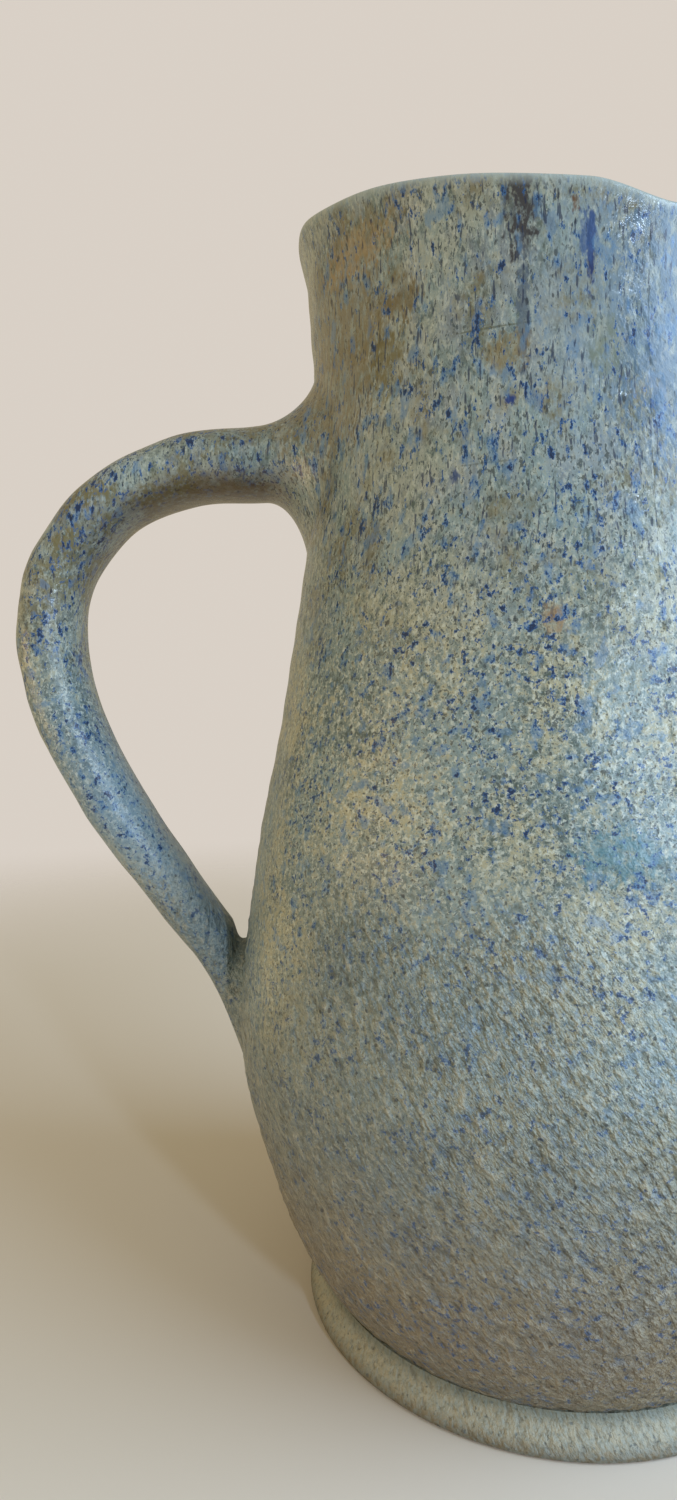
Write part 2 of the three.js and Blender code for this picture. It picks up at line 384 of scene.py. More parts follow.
def outer_radius(angle, height):
    """The outline, plus the flare at the rim, plus the spout's pull, which grows with height."""
    rim = rim_height(angle)
    away = from_spout(angle)
    rise = np.maximum(0, (height - SPOUT_LOWEST) / (rim - SPOUT_LOWEST)) ** PULL_CURVE
    pull = SPOUT_REACH * bell(away, SPOUT_WIDTH) - PINCH * bell(away - PINCH_ANGLE, PINCH_WIDTH)
    return outline(height) + RIM_FLARE * np.exp((height - rim) / FLARE_HEIGHT) + pull * rise


def wall_thickness(angle, height):
    """Full thickness low down, thinner over the last stretch to the rim."""
    rim = rim_height(angle)
    return WALL_THICKNESS + (RIM_THICKNESS - WALL_THICKNESS) * smooth(height, rim - THINNING, rim)


def seam_height(angle):
    """Where the spout joins the neck: low at the front and rising as one minus the cosine."""
    top = rim_height(SPOUT_SIDE) - SPOUT_SIDE_DEPTH
    return SPOUT_LOWEST + (top - SPOUT_LOWEST) * (1 - np.cos(angle)) / (1 - math.cos(SPOUT_SIDE))


print("rim from", round(float(rim_height(SPOUT_SIDE)), 4), "to", round(float(rim_height(np.pi)), 4))

# %% [markdown]
# ## The touch of the hand
#
# The wall carries faint rings from the fingers, and the glaze lies smooth and fat on the neck and
# lumpy where it stayed dry. These shapes catch the light, so they are in the mesh. The unevenness
# is a sum of plane waves in random directions, worked out from a point's place in space. That keeps
# it seamless round the pot, and pieces that share an edge get the same value there.

# %% Uneven surfaces
DRY_TOP = 112 * MM  # the glaze is fully melted above this height
DRY_BOTTOM = 62 * MM  # and stays dry below this one
# How high each unevenness is, and how far apart its waves are:
BORDER = (7 * MM, 45 * MM)
SWELL = (0.10 * MM, 24 * MM)
LUMPS = (0.12 * MM, 3.8 * MM)
RINGS = (0.06 * MM, 8.5 * MM)
FINGERS = (0.35 * MM, 9 * MM)
FINGERS_BEGIN = (2 * MM, 20 * MM)  # they grow in over these distances below the rim
MEAN_BELOW = 0.31 * MM  # how far the glaze lies below the outline on the whole,
LEAST_BELOW = 0.04 * MM  # and at its highest


def waves(points, wavelength, seed, count=40):
    """The sum of many cosines of the distance along random directions, with a spread of about 1."""
    random = np.random.default_rng(seed)
    heading = random.normal(size=(3, count))
    heading *= random.uniform(0.7, 1.5, count) / np.linalg.norm(heading, axis=0)
    turn = random.uniform(0, 2 * np.pi, count)
    flat = points.reshape(-1, 3)
    total = np.zeros(len(flat))
    for i in range(count):
        total += np.cos(flat @ heading[:, i] * (2 * np.pi / wavelength) + turn[i])
    return (total * math.sqrt(2 / count)).reshape(points.shape[:-1])


def round_pot(angle, radius, height):
    """Points on circles round the axis."""
    return np.stack([radius * np.cos(angle), radius * np.sin(angle), height + 0 * angle], axis=-1)


def dryness(points):
    """1 on the sandy lower belly, 0 on the melted neck, with a wavy border between."""
    wandering = points[..., 2] + BORDER[0] * waves(points, BORDER[1], seed=3)
    return 1 - smooth(wandering, DRY_BOTTOM, DRY_TOP)


def unevenness(points):
    """How far the glaze stands below its highest level: broad swells, and lumps where it is dry."""
    swell = SWELL[0] * waves(points, SWELL[1], seed=5)
    lumps = LUMPS[0] * waves(points, LUMPS[1], seed=7) * dryness(points)
    rings = RINGS[0] * np.cos(points[..., 2] * (2 * np.pi / RINGS[1]))
    return np.minimum(swell + lumps + rings - MEAN_BELOW, -LEAST_BELOW)


def outer_wall(angle, height):
    """The outer surface, moved in along the radius by the unevenness."""
    radius = outer_radius(angle, height)
    return round_pot(angle, radius + unevenness(round_pot(angle, radius, height)), height)


def inner_wall(angle, height):
    """The inner surface, with the spiral groove that the fingers left as they pulled it up."""
    spiral = FINGERS[0] * (0.5 + 0.5 * np.cos(height * (2 * np.pi / FINGERS[1]) - angle))
    radius = outer_radius(angle, height) - wall_thickness(angle, height) + spiral
    fading = smooth(rim_height(angle) - height, *FINGERS_BEGIN)
    return round_pot(angle, radius - spiral * (1 - fading), height)


print("dry below about", DRY_BOTTOM, "m")

# %% [markdown]
# ## Making a closed skin
#
# Every piece is a stack of closed rings of points, like the hoops of a barrel. The skin joins each
# ring to the next with four-sided faces and closes both ends with a fan. The indices come from
# array sums, without a loop over points. Sharp edges are marked, so that the shading stays crisp at
# cut ends.

# %% Skin builder
SHARP = math.radians(40)
EDGE_BAND = (0.3 * MM, 2.4 * MM)  # the glaze is thin down to the first distance below the rim


def skin(name, rings, facts=None):
    """A closed mesh from rings[i, j], the j-th point of ring i; facts are values for each point."""
    count, sides = rings.shape[:2]
    points = np.vstack([rings.reshape(-1, 3), rings[0].mean(axis=0), rings[-1].mean(axis=0)])
    row = np.arange(count - 1)[:, None] * sides
    here = np.arange(sides)[None, :]
    beyond = (here + 1) % sides
    quads = np.stack([row + here, row + beyond, row + sides + beyond, row + sides + here], axis=-1)
    first, last = count * sides, count * sides + 1
    start, end = np.arange(sides), (count - 1) * sides + np.arange(sides)
    start_fan = np.stack([np.full(sides, first), np.roll(start, -1), start], axis=-1)
    end_fan = np.stack([np.full(sides, last), end, np.roll(end, -1)], axis=-1)
    faces = quads.reshape(-1, 4).tolist() + start_fan.tolist() + end_fan.tolist()
    mesh = bpy.data.meshes.new(name)
    mesh.from_pydata(points, [], faces)
    mesh.shade_smooth()
    mesh.set_sharp_from_angle(angle=SHARP)
    for fact, values in (facts or {}).items():
        layer = mesh.attributes.new(fact, "FLOAT", "POINT")
        ends = [values[0].mean(), values[-1].mean()]
        layer.data.foreach_set("value", np.append(values.reshape(-1), ends).astype(np.float32))
    piece = bpy.data.objects.new(name, mesh)
    bpy.context.scene.collection.objects.link(piece)
    return piece


def glaze_facts(points, below_rim=1.0, under=0.0):
    """What the glaze needs to know at each point: how dry it lies, how near the rim it is, and how
    far it is on the brown side under the handle's root, where the dip left it thin and painted
    shade with warm bounce light falls."""
    edge = 1 - smooth(below_rim + 0 * points[..., 2], *EDGE_BAND)
    return {"dry": dryness(points), "edge": edge, "under": under + 0 * points[..., 2]}


def finish_piece(piece, node, slot, *materials):
    """Gives a piece its materials and says which body it rides on and what it stands for."""
    for material in materials:
        piece.data.materials.append(material)
    places = np.empty(len(piece.data.vertices) * 3)
    piece.data.vertices.foreach_get("co", places)
    places = places.reshape(-1, 3)
    low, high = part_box(node)
    apart = np.abs(np.concatenate([places.min(axis=0) - low, places.max(axis=0) - high])).max()
    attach(piece, "root")
    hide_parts(node)
    apart = round(apart / MM, 2)
    print(node, "has", len(piece.data.polygons), "faces, within", apart, "mm of its box")


# %% [markdown]
# ## Glaze effects
#
# A speckled glaze is a liquid glass with crystals, metal specks and clouds in it. Melted glaze runs,
# so its pattern is long and narrow high on the pot. A plain helper, drawn down, gives the place to
# look a pattern up at. Four effects are node groups, shared by the glaze, the foot and the clay:
#
# - **Grain**: clouds from broad to very fine at once, cut off at a level. A high level leaves small
#   ragged islands, and that is how crystals and flecks look.
# - **Drops**: round spots of a random size, for the few specks that stayed whole.
# - **Sand**: the lumps and pits of glaze that didn't melt flat, leaning along the throwing spiral.
# - **Mark**: one soft spot at a chosen place, for what happened only once in the kiln, and for
#   two broad patches of painted shade and window tint on the neck's sides.

# %% Pattern groups
SPIRAL = 8.0  # how far the throwing spiral turns, in radians for each metre of height


def drawn_down(tree, place, start, ramp, stretch):
    """Place with its height above start divided by stretch; the change grows in over the ramp.

    The ramp is the square of the height into it, over twice its length, so that the squeeze
    starts from nothing and the pattern has no visible border.
    """
    x, y, z = parts_of(tree, place)
    above = calc(tree, "MAXIMUM", calc(tree, "SUBTRACT", z, start), 0.0)
    within = calc(tree, "MINIMUM", above, ramp)
    beyond = calc(tree, "SUBTRACT", above, within)
    halved = calc(tree, "MULTIPLY", calc(tree, "MULTIPLY", within, within), 0.5 / ramp)
    squeezed = calc(tree, "ADD", halved, beyond)
    lower = calc(tree, "SUBTRACT", z, calc(tree, "MULTIPLY", squeezed, 1 - 1 / stretch))
    return make(tree, "ShaderNodeCombineXYZ", {0: x, 1: y, 2: lower}).outputs[0]


def grain_group():
    """Noise with many octaves and a soft step at Cut: 0.55 leaves about a third, 0.63 a tenth."""
    inputs = {"Vector": None, "Size": 0.001, "Cut": 0.5, "Softness": 0.05, "Roughness": 0.6}
    group, given, out = new_group("grain", inputs, ["Mask", "Level"])
    place = vector_calc(group, "DIVIDE", given["Vector"], given["Size"])
    level = noise(group, place, 4.0, given["Roughness"])["Fac"]
    low = calc(group, "SUBTRACT", given["Cut"], given["Softness"])
    high = calc(group, "ADD", given["Cut"], given["Softness"])
    group.links.new(fade(group, level, low, high), out["Mask"])
    group.links.new(level, out["Level"])
    return group


def drop_group():
    """One ball in each cell: its radius is a random share of Cover, so most are small."""
    inputs = {"Vector": None, "Size": 0.001, "Cover": 0.4, "Ragged": 0.3}
    group, given, out = new_group("drops", inputs, ["Mask"])
    place = vector_calc(group, "DIVIDE", given["Vector"], given["Size"])
    finer = vector_calc(group, "MULTIPLY", place, (2.3, 2.3, 2.3))
    shake = vector_calc(group, "SUBTRACT", noise(group, finer, 2.0)["Color"], (0.5, 0.5, 0.5))
    push = make(group, "ShaderNodeVectorMath", {0: shake, 3: given["Ragged"]}, operation="SCALE")
    ragged = vector_calc(group, "ADD", place, push.outputs[0])
    cells = make(group, "ShaderNodeTexVoronoi", {"Vector": ragged, "Scale": 1.0}).outputs
    chance = make(group, "ShaderNodeSeparateColor", {0: cells["Color"]}).outputs[0]
    radius = calc(group, "MULTIPLY", calc(group, "POWER", chance, 2.0), given["Cover"])
    inner = calc(group, "MULTIPLY", radius, 0.6)
    group.links.new(fade(group, cells["Distance"], radius, inner), out["Mask"])
    return group


def sand_group():
    """Lumps drawn out along the throwing spiral. Height runs 0 to 1, and Pits is its hollows.

    The place is turned about the axis by an angle that grows with height, then squeezed in height,
    so lumps that are long and upright in the turned place lean over on the pot.
    """
    inputs = {"Vector": None, "Size": 0.001}
    group, given, out = new_group("sand", inputs, ["Height", "Pits"])
    twist = calc(group, "MULTIPLY", parts_of(group, given["Vector"])[2], SPIRAL)
    about_axis = {"Vector": given["Vector"], "Angle": twist}
    turned = make(group, "ShaderNodeVectorRotate", about_axis, rotation_type="Z_AXIS").outputs[0]
    place = vector_calc(group, "DIVIDE", turned, given["Size"])
    leaning = vector_calc(group, "MULTIPLY", place, (1.0, 1.0, 0.72))
    lumps = noise(group, leaning, 3.0, 0.58)["Fac"]
    group.links.new(lumps, out["Height"])
    group.links.new(fade(group, lumps, 0.46, 0.32), out["Pits"])
    return group


def mark_group():
    """A soft spot: 1 at Middle, fading to 0 at Width across and Tall up, with a ragged border."""
    inputs = {"Vector": None, "Middle": None, "Width": 0.003, "Tall": 0.003, "Ragged": 0.4}
    group, given, out = new_group("mark", inputs, ["Mask"])
    away = vector_calc(group, "SUBTRACT", given["Vector"], given["Middle"])
    sides = {0: given["Width"], 1: given["Width"], 2: given["Tall"]}
    size = make(group, "ShaderNodeCombineXYZ", sides).outputs[0]
    length = length_of(group, vector_calc(group, "DIVIDE", away, size))
    fine = vector_calc(group, "MULTIPLY", given["Vector"], (1500.0, 1500.0, 700.0))
    shake = calc(group, "SUBTRACT", noise(group, fine, 2.0)["Fac"], 0.5)
    strength = calc(group, "MULTIPLY", given["Ragged"], 4.0)
    ragged = calc(group, "ADD", length, calc(group, "MULTIPLY", shake, strength))
    group.links.new(fade(group, ragged, 1.0, 0.5), out["Mask"])
    return group


grain, drops, sand, mark = grain_group(), drop_group(), sand_group(), mark_group()
print("groups:", [group.name for group in bpy.data.node_groups])

# %% [markdown]
# ## The speckled glaze
#
# One material covers everything that was dipped, so the pattern runs across every joint. It looks
# up every pattern at the place in the pot's own space. The layers, from the ground up:
#
# 1. a ground of grey-green that breaks to blue-grey, lilac and buff, in drifts a few centimetres
#    wide;
# 2. olive and ochre where the glaze is thickest, high on the neck and on the handle;
# 3. the marks that happened only once in the kiln, and broad painted shade on the neck's left
#    and a painted bluish window cast on its right;
# 4. on the lower belly, dry glaze: greyer and browner, the brown partly painted warm bounce light,
#    with dark pits between its grains;
# 5. sky-blue spots, cobalt flecks with navy hearts, and fine dark dashes where they ran;
# 6. round specks of iron, brown under the handle's root where the glaze is thin and painted shade
#    falls, and a thin pale edge at the rim.
#
# The neck is glossy and the lower belly dull, so roughness and relief follow the same dryness.

# %% Mix the glaze
GREY_GREEN = srgb(78, 92, 88)
BLUE_GREY = srgb(130, 151, 156)
BUFF = srgb(172, 169, 140)
PALE = srgb(202, 211, 202)
SLATE = srgb(44, 62, 72)
LILAC = srgb(138, 148, 158)
SKY = srgb(80, 124, 166)
# painted highlight: the bluish sheen of the window on the lower handle
STRAP_WINDOW_SHEEN = srgb(120, 152, 182)
OLIVE = srgb(108, 101, 66)
OCHRE = srgb(126, 100, 60)
# thin glaze under the handle's root, partly painted shade and warm bounce light
THIN_AND_SHADED_BROWN = srgb(92, 74, 48)
COBALT = srgb(38, 92, 152)
NAVY = srgb(22, 40, 72)
INK = srgb(24, 34, 46)
DRY_GREY = srgb(124, 137, 138)
# the dry glaze's own brown, mixed with painted warm bounce light from below
DRY_BROWN_AND_BOUNCE = srgb(124, 106, 80)
DRY_TIP = srgb(196, 192, 174)
PIT_BROWN = srgb(62, 58, 46)
THIN_EDGE = srgb(166, 180, 180)

RUN_START = 0.11  # the pattern is drawn down above this height
NECK_BEGINS = (0.12, 0.165)  # heights over which the belly's glaze turns into the neck's
STRAP_BEGINS = (-0.056, -0.072)  # reaches over which the wall's pattern turns into the handle's
STRAP_SHEEN_BETWEEN = (0.140, 0.100)  # heights over which the painted bluish window sheen grows on the handle
BROWN_AND_BOUNCE_BETWEEN = (0.075, 0.014)  # heights over which the dry glaze grows browner, partly its own colour and partly painted warm bounce light
DASH_STRETCH = 6.0  # how far the fine dark dashes are drawn down
BROAD_MARK = 2.0  # the ground shows through marks that are wider than this, in millimetres
# What happened only once in the kiln, plus painted shade on the neck's left and a painted bluish
# window cast on its right: the angle from the spout in degrees, the height, width and tallness in
# millimetres, the tone, and how strongly it covers the glaze. Later marks lie on top.
KILN_AND_LIGHT_MARKS = {
    # painted shade: darkens the left side of the neck, where less light falls
    "painted_shade_left": (-158, 193, 24, 24, (116, 106, 76), 0.60),
    # painted light: the bluish cast of the window on the right side of the neck
    "painted_window_tint_right": (-72, 190, 26, 34, (78, 106, 130), 0.72),
    "pale_side": (-97.5, 189, 9, 26, (142, 162, 174), 0.36),
    "buff_rim": (-146, 209, 13, 5, (150, 130, 90), 0.50),
    "iron_run": (-107.5, 207, 3.4, 11, (58, 60, 66), 0.95),
    "iron_run_tail": (-107, 190, 1.3, 14, (66, 84, 108), 0.65),
    "cobalt_run": (-94.5, 199, 0.9, 9, (22, 46, 100), 0.95),
    "cobalt_run_head": (-95, 201, 1.8, 5, (52, 84, 134), 0.75),
    "iron_spot": (-97.5, 206, 0.8, 1.9, (92, 62, 36), 0.90),
    "cobalt_drop": (-109.5, 176, 1.2, 1.2, (20, 54, 120), 0.95),
    "blue_drop": (-120, 164.5, 1.1, 1.6, (34, 62, 112), 0.85),
    "rust_bloom": (-101.5, 140, 2.4, 3.8, (140, 118, 92), 0.65),
    "teal_bloom": (-92.5, 102.5, 8.5, 6, (66, 120, 140), 0.60),
    "olive_high": (-133, 197, 5.5, 5, (104, 92, 58), 0.65),
    "olive_low": (-137, 187.5, 5, 8, (102, 96, 60), 0.65),
    "olive_middle": (-109.5, 184, 4.5, 4, (122, 108, 68), 0.60),
    "olive_right": (-91.5, 183.5, 3.5, 6, (104, 112, 84), 0.50),
    "hairline_high": (-113, 188.3, 8, 0.25, (70, 74, 52), 0.55),
    "hairline_low": (-113, 166, 6, 0.22, (76, 84, 70), 0.40),
}


def fact(tree, name):
    """A value stored on the mesh."""
    return make(tree, "ShaderNodeAttribute", {}, attribute_name=name).outputs["Fac"]


def grain_mask(tree, place, size, level, softness=0.05, roughness=0.6):
    """The grain group placed, and its mask."""
    shape = {"Size": size, "Cut": level, "Softness": softness, "Roughness": roughness}
    return use(tree, grain, Vector=place, **shape)["Mask"]


def drift(tree, place, size, low, high):
    """A value that wanders between low and high over distances of the size."""
    level = use(tree, grain, Vector=place, Size=size, Cut=0.5, Softness=0.1, Roughness=0.5)["Level"]
    return fade(tree, level, 0.36, 0.64, low, high)


def ground_layer(tree, place, run, high):
    """Clouds of grey-green, blue-grey and lilac, with buff grains, pale crystals and pepper."""
    blue = grain_mask(tree, run, 0.0012, drift(tree, place, 0.017, 0.37, 0.47), 0.13, 0.70)
    colour = cover(tree, GREY_GREEN, BLUE_GREY, blue)
    cloud = grain_mask(tree, run, 0.005, 0.52, 0.12, 0.6)
    colour = cover(tree, colour, LILAC, cloud, high, 0.55)
    buff = grain_mask(tree, run, 0.0012, drift(tree, place, 0.020, 0.58, 0.45), 0.10, 0.76)
    colour = cover(tree, colour, BUFF, buff, between(tree, high, 0.88, 0.42))
    pale = grain_mask(tree, run, 0.0007, 0.57, 0.05, 0.6)
    colour = cover(tree, colour, PALE, pale, between(tree, high, 0.62, 0.32))
    slate = grain_mask(tree, run, 0.0006, drift(tree, place, 0.009, 0.61, 0.555), 0.03, 0.62)
    return cover(tree, colour, SLATE, slate, 0.80)


def thick_layer(tree, place, run, colour, high, strap):
    """Olive and ochre clouds, more of them on the strap, seen through a fine grain."""
    level = calc(tree, "SUBTRACT", 0.57, part_of(tree, strap, 0.10))
    zone = part_of(tree, grain_mask(tree, place, 0.012, level, 0.07, 0.5), high)
    through = grain_mask(tree, run, 0.0010, 0.46, 0.10, 0.7)
    strength = calc(tree, "ADD", 0.70, part_of(tree, strap, 0.20))
    colour = cover(tree, colour, OLIVE, zone, through, strength)
    heart = part_of(tree, grain_mask(tree, run, 0.0026, 0.58, 0.08), zone)
    return cover(tree, colour, OCHRE, heart, 0.5)


def cobalt_layer(tree, place, run, colour, high, strap, dry):
    """Soft sky-blue spots, crisp flecks with navy hearts, and fine dashes drawn down."""
    spots = grain_mask(tree, run, 0.0026, 0.60, 0.04, 0.52)
    colour = cover(tree, colour, SKY, spots, between(tree, dry, 0.50, 0.20))
    cluster = drift(tree, place, 0.009, 0.64, 0.575)
    cluster = calc(tree, "SUBTRACT", cluster, part_of(tree, strap, 0.022))
    flecks = use(tree, grain, Vector=run, Size=0.0013, Cut=cluster, Softness=0.022, Roughness=0.70)
    strength = between(tree, dry, 0.92, 0.54)
    colour = cover(tree, colour, COBALT, flecks["Mask"], strength)
    rim, middle = calc(tree, "ADD", cluster, 0.01), calc(tree, "ADD", cluster, 0.06)
    heart = fade(tree, flecks["Level"], rim, middle)
    colour = cover(tree, colour, NAVY, heart, strength)
    long_place = drawn_down(tree, place, RUN_START, ramp=0.03, stretch=DASH_STRETCH)
    dashes = grain_mask(tree, long_place, 0.0006, 0.63, 0.03, 0.5)
    return cover(tree, colour, NAVY, dashes, between(tree, high, 0.10, 0.75))


def kiln_and_light_marks(tree, place, colour, through):
    """Each mark at its own place on the outer wall; the ground shows through the broad ones."""
    for angle, height, width, tall, tone, strength in KILN_AND_LIGHT_MARKS.values():
        turn, level = math.radians(angle), height * MM
        middle = round_pot(turn, float(outer_radius(turn, level)), level)
        size = {"Middle": middle.tolist(), "Width": width * MM, "Tall": tall * MM}
        spot = use(tree, mark, Vector=place, **size)["Mask"]
        if width > BROAD_MARK:
            spot = part_of(tree, spot, calc(tree, "ADD", 0.25, through))
        colour = cover(tree, colour, srgb(*tone), spot, strength)
    return colour


def dry_layer(tree, place, colour, dry, grains):
    """Grey-brown over the dry glaze, browner towards the foot, with pale tips and dark pits; the
    brown is partly the dry glaze's own and partly painted warm bounce light.
    """
    # browner towards the foot: the glaze's own colour and painted warm bounce light
    brown = fade(tree, parts_of(tree, place)[2], *BROWN_AND_BOUNCE_BETWEEN)
    ground = cover(tree, DRY_GREY, DRY_BROWN_AND_BOUNCE, brown)
    amount = calc(tree, "ADD", 0.50, part_of(tree, brown, 0.25))
    colour = cover(tree, colour, ground, dry, amount)
    tips = fade(tree, grains["Height"], 0.54, 0.70)
    colour = cover(tree, colour, DRY_TIP, tips, dry, 0.35)
    return cover(tree, colour, PIT_BROWN, grains["Pits"], dry, 0.40)


def add_relief(tree, shader, height, distance):
    """Bumps in the shading, as high as height times the distance."""
    bump = make(tree, "ShaderNodeBump", {"Height": height, "Strength": 1.0, "Distance": distance})
    tree.links.new(bump.outputs[0], shader.inputs["Normal"])


def speckled_glaze():
    """The dipped glaze, from its ground up."""
    material, tree, shader = new_material("speckled_glaze")
    place = object_place(tree)
    run = drawn_down(tree, place, RUN_START, ramp=0.06, stretch=2.1)
    reach, _, height = parts_of(tree, place)
    high = fade(tree, height, *NECK_BEGINS)
    strap = fade(tree, reach, *STRAP_BEGINS)
    dry = fact(tree, "dry")
    grains = use(tree, sand, Vector=place, Size=0.0016)
    through = grain_mask(tree, run, 0.0014, 0.46, 0.12, 0.7)

    colour = ground_layer(tree, place, run, high)
    # painted window sheen, bluer towards the lower end of the handle
    colour = cover(tree, colour, STRAP_WINDOW_SHEEN, strap, fade(tree, height, *STRAP_SHEEN_BETWEEN), 0.40)
    colour = thick_layer(tree, place, run, colour, high, strap)
    # the kiln marks, with the painted side shade and window tint among them
    colour = kiln_and_light_marks(tree, place, colour, through)
    colour = dry_layer(tree, place, colour, dry, grains)
    colour = cobalt_layer(tree, place, run, colour, high, strap, dry)
    iron = use(tree, drops, Vector=run, Size=0.0015, Cover=0.30, Ragged=0.5)["Mask"]
    colour = cover(tree, colour, INK, iron, 0.65)
    # brown under the handle's root: thin glaze, and painted shade with warm bounce light
    patchy = calc(tree, "ADD", 0.45, part_of(tree, through, 0.45))
    colour = cover(tree, colour, THIN_AND_SHADED_BROWN, fact(tree, "under"), patchy)
    colour = cover(tree, colour, THIN_EDGE, fact(tree, "edge"), 0.75)
    tree.links.new(colour, shader.inputs["Base Color"])

    uneven = drift(tree, place, 0.004, -0.03, 0.05)
    melted = between(tree, high, 0.32, 0.20)
    gloss = calc(tree, "ADD", melted, between(tree, dry, uneven, 0.14))
    tree.links.new(gloss, shader.inputs["Roughness"])
    ripple = use(tree, grain, Vector=run, Size=0.0014, Roughness=0.55)["Level"]
    skin_relief = part_of(tree, ripple, between(tree, high, 0.10, 0.06))
    sandy_relief = part_of(tree, grains["Height"], fade(tree, dry, 0.25, 1.0, 0.08, 1.25))
    add_relief(tree, shader, calc(tree, "ADD", skin_relief, sandy_relief), 0.0020)
    shader.inputs["IOR"].default_value = 1.5
    return material


glaze = speckled_glaze()
print("glaze has", len(glaze.node_tree.nodes), "nodes")

# %% [markdown]
# ## The foot
#
# The foot was turned with a loop tool: a low ring that flares out to a rounded edge, with a sharp
# groove above it. The glaze is thin and pale here, and the underside is wiped down to the clay. The
# skin's rings run out along the underside, round the edge, up to the groove and back in.

# %% Foot glaze and bare clay
FOOT_PALE = srgb(166, 163, 144)
FOOT_SHADE = srgb(112, 102, 80)
CLAY = srgb(164, 136, 104)
CLAY_DARK = srgb(116, 90, 66)
SHADE_BETWEEN = (0.0035, 0.0008)  # heights over which it turns brown where it stands: thin glaze and painted contact shade
GROOVE_SHADE_BETWEEN = (0.0042, 0.0064)  # heights over which painted shade under the belly darkens it grey-green towards the groove


def sandy_bump(tree, shader, place, size, distance):
    """The sand group as relief; its pits are handed back for the colour."""
    grains = use(tree, sand, Vector=place, Size=size)
    add_relief(tree, shader, grains["Height"], distance)
    return grains["Pits"]


def foot_glaze():
    """Thin pale glaze with a fine grain, a few blue specks, brown low down where it thins to the
    clay and painted contact shade falls, and painted shade going grey-green up into the groove.
    """
    material, tree, shader = new_material("foot_glaze")
    place = object_place(tree)
    height = parts_of(tree, place)[2]
    # browner near the floor: thin glaze and painted contact shade
    colour = cover(tree, FOOT_PALE, FOOT_SHADE, fade(tree, height, *SHADE_BETWEEN))
    blue = grain_mask(tree, place, 0.0014, 0.50, 0.08, 0.68)
    colour = cover(tree, colour, BLUE_GREY, blue, 0.30)
    dark = grain_mask(tree, place, 0.0009, 0.57, 0.07, 0.7)
    colour = cover(tree, colour, GREY_GREEN, dark, 0.28)
    specks = grain_mask(tree, place, 0.0011, 0.64, 0.04, 0.6)
    colour = cover(tree, colour, SLATE, specks, 0.6)
    # painted shade under the belly's overhang, darkest at the groove
    colour = cover(tree, colour, GREY_GREEN, fade(tree, height, *GROOVE_SHADE_BETWEEN, 0.0, 0.6))
    pits = sandy_bump(tree, shader, place, 0.0011, 0.0008)
    colour = cover(tree, colour, PIT_BROWN, pits, 0.35)
    tree.links.new(colour, shader.inputs["Base Color"])
    shader.inputs["Roughness"].default_value = 0.58
    return material


def bare_clay():
    """Unglazed stoneware, sandy and dull."""
    material, tree, shader = new_material("bare_clay")
    place = object_place(tree)
    cloud = grain_mask(tree, place, 0.010, 0.5, 0.2)
    colour = cover(tree, CLAY, CLAY_DARK, cloud)
    specks = use(tree, drops, Vector=place, Size=0.0018, Cover=0.4, Ragged=0.4)["Mask"]
    colour = cover(tree, colour, INK, specks)
    pits = sandy_bump(tree, shader, place, 0.0009, 0.0004)
    colour = cover(tree, colour, CLAY_DARK, pits, 0.5)
    tree.links.new(colour, shader.inputs["Base Color"])
    shader.inputs["Roughness"].default_value = 0.85
    return material


# %% Turn the foot
FOOT_OUTLINE = MM * np.array([  # radius and height, round the edge and up to the groove
    [49.5, 0.0], [50.1, 0.12], [50.5, 0.45], [50.7, 1.2], [50.35, 2.0],
    [49.7, 3.0], [48.75, 4.2], [48.0, 5.4], [47.55, 6.6],
])
COLUMNS = 360
MIDDLE_HOLE = 2 * MM  # the rings of the underside begin at this radius and a fan closes the middle
TURNING_RINGS = (0.18 * MM, 4 * MM)  # how deep they are, and how far apart


def turn_foot():
    """The outline carried round the axis, and shallow turning rings under the foot."""
    angle = np.linspace(0, 2 * np.pi, COLUMNS, endpoint=False)
    under = np.linspace(MIDDLE_HOLE, FOOT_OUTLINE[0, 0], 60)
    turned = TURNING_RINGS[0] * (0.5 - 0.5 * np.cos(under * (2 * np.pi / TURNING_RINGS[1])))
    depth = turned * smooth(48 * MM - under, 0, 2 * MM)
    along = np.linspace(0, len(FOOT_OUTLINE) - 1, 40)
    knots = np.arange(len(FOOT_OUTLINE))
    radius = np.append(under[:-1], np.interp(along, knots, FOOT_OUTLINE[:, 0]))
    height = np.append(depth[:-1], np.interp(along, knots, FOOT_OUTLINE[:, 1]))
    radius = np.append(radius, MIDDLE_HOLE)
    height = np.append(height, FOOT_OUTLINE[-1, 1])
    rings = round_pot(angle[None, :], radius[:, None], height[:, None])
    piece = skin("turned_foot", rings)
    facing = np.zeros(len(piece.data.polygons) * 3)
    piece.data.polygons.foreach_get("normal", facing)
    under_face = (facing.reshape(-1, 3)[:, 2] < -0.9).astype(np.int32)
    piece.data.polygons.foreach_set("material_index", under_face)
    return piece


finish_piece(turn_foot(), "foot_ring", "dry_glaze", foot_glaze(), bare_clay())

# %% [markdown]
# ## The thrown body
#
# The rings climb the outside from the groove to the rim, roll over the lip and go down the inside
# to the floor. At the front they stop lower, along the seam under the spout, with a plain cut. Two
# columns stand side by side where the seam runs out, so that the step up to the rim is clean.

# %% Rings of the body
SEAM_STEP = math.radians(0.02)
WALL_ROWS = 186
LIP_ROWS = 9
INNER_ROWS = 58
INSIDE_FLOOR = 13 * MM
INSIDE_WALL_START = 21 * MM
CORNER_STRETCH = 1.4  # the inside corner is this much wider than it is high
FRONT = np.linspace(-SPOUT_SIDE, SPOUT_SIDE, 167)
BACK = np.linspace(SPOUT_SIDE + SEAM_STEP, 2 * np.pi - SPOUT_SIDE - SEAM_STEP, 193)


